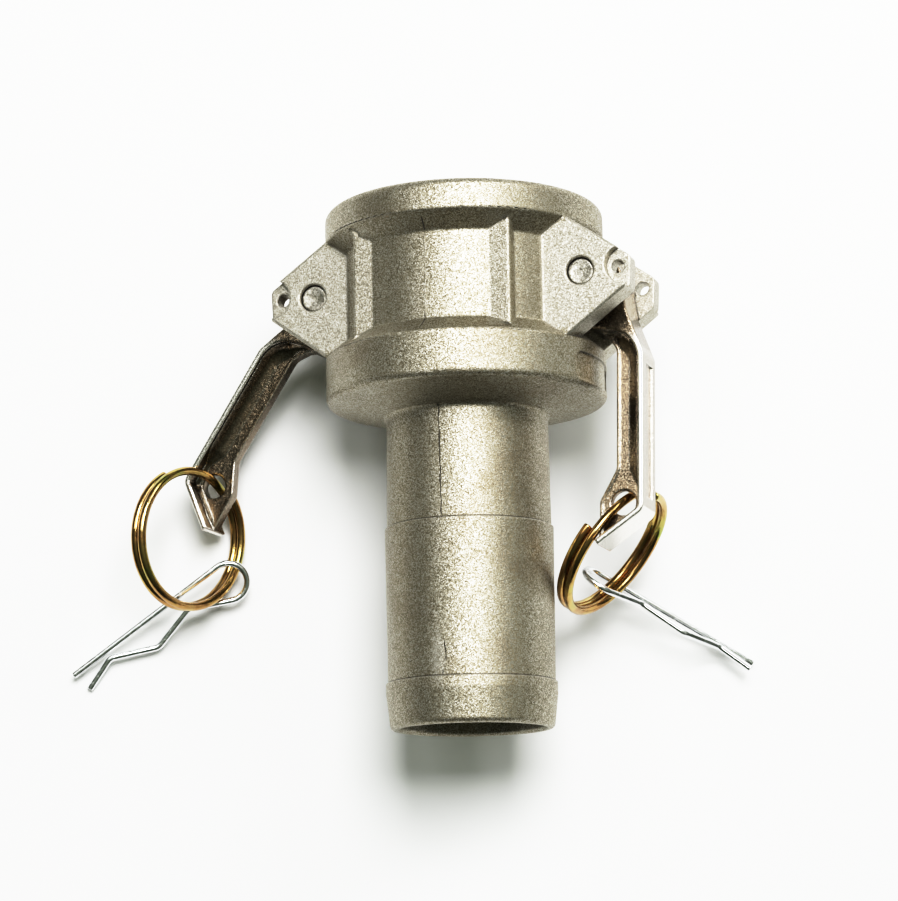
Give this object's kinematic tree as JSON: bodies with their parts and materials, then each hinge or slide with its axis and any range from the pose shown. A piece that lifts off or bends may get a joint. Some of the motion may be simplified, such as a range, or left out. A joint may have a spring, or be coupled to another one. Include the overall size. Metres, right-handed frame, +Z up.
{
  "type": "cam and groove hose coupler",
  "caption": "Hose-shank cam and groove coupler: socket with gasket, two cam arms on pins, pull rings, safety clips and a barbed hose shank.",
  "frame": {"origin": "centre of the socket's mouth, in the plane of its end face, on the coupler's axis", "axes": "+Y along the coupler's axis, out of the mouth; the barbed shank points to -Y; +Z up as it lies on a table, on its flange and collar; X across, with the right-hand arm on +X"},
  "size_m": [0.2134, 0.1579, 0.0852],
  "materials": {
    "body": "shot-blasted casting",
    "arm": "investment-cast steel, satin",
    "pin": "turned steel",
    "ring": "yellow zinc-plated spring wire",
    "clip": "bright zinc-plated spring wire",
    "gasket": "matt rubber"
  },
  "bodies": {
    "coupler": {"coupler_body": "body", "gasket": "gasket", "pivot_pin_left": "pin", "pivot_pin_right": "pin"},
    "arm_left": {"cam_arm_left": "arm"},
    "arm_right": {"cam_arm_right": "arm"},
    "ring_left": {"pull_ring_left": "ring"},
    "ring_right": {"pull_ring_right": "ring"},
    "clip_left": {"safety_clip_left": "clip"},
    "clip_right": {"safety_clip_right": "clip"}
  },
  "joints": [
    {"name": "arm_left_pivot", "type": "hinge", "parent": "coupler", "child": "arm_left", "pos_m": [-0.03997, -0.0264, -0.01353], "axis": [0.3206, 0, -0.9472], "range_deg": [-34.6, 85.4]},
    {"name": "arm_right_pivot", "type": "hinge", "parent": "coupler", "child": "arm_right", "pos_m": [0.03997, -0.0264, 0.01353], "axis": [-0.3206, 0, 0.9472], "range_deg": [0, 120]},
    {"name": "ring_left_swing", "type": "hinge", "parent": "arm_left", "child": "ring_left", "pos_m": [-0.07863, -0.07723, -0.03065], "axis": [-0.516, 0.244, 0.8211], "range_deg": [-50, 50]},
    {"name": "ring_right_swing", "type": "hinge", "parent": "arm_right", "child": "ring_right", "pos_m": [0.0458, -0.09218, 0.01213], "axis": [-0.9859, -0.155, 0.063], "range_deg": [0, 45]},
    {"name": "clip_left_swing", "type": "hinge", "parent": "ring_left", "child": "clip_left", "pos_m": [-0.0779, -0.10678, -0.0355], "axis": [0.4652, 0.7834, -0.4122], "range_deg": [-100, 60]},
    {"name": "clip_right_swing", "type": "hinge", "parent": "ring_right", "child": "clip_right", "pos_m": [0.04307, -0.11401, -0.02347], "axis": [0.7069, 0.6229, -0.335], "range_deg": [-100, 20]}
  ]
}
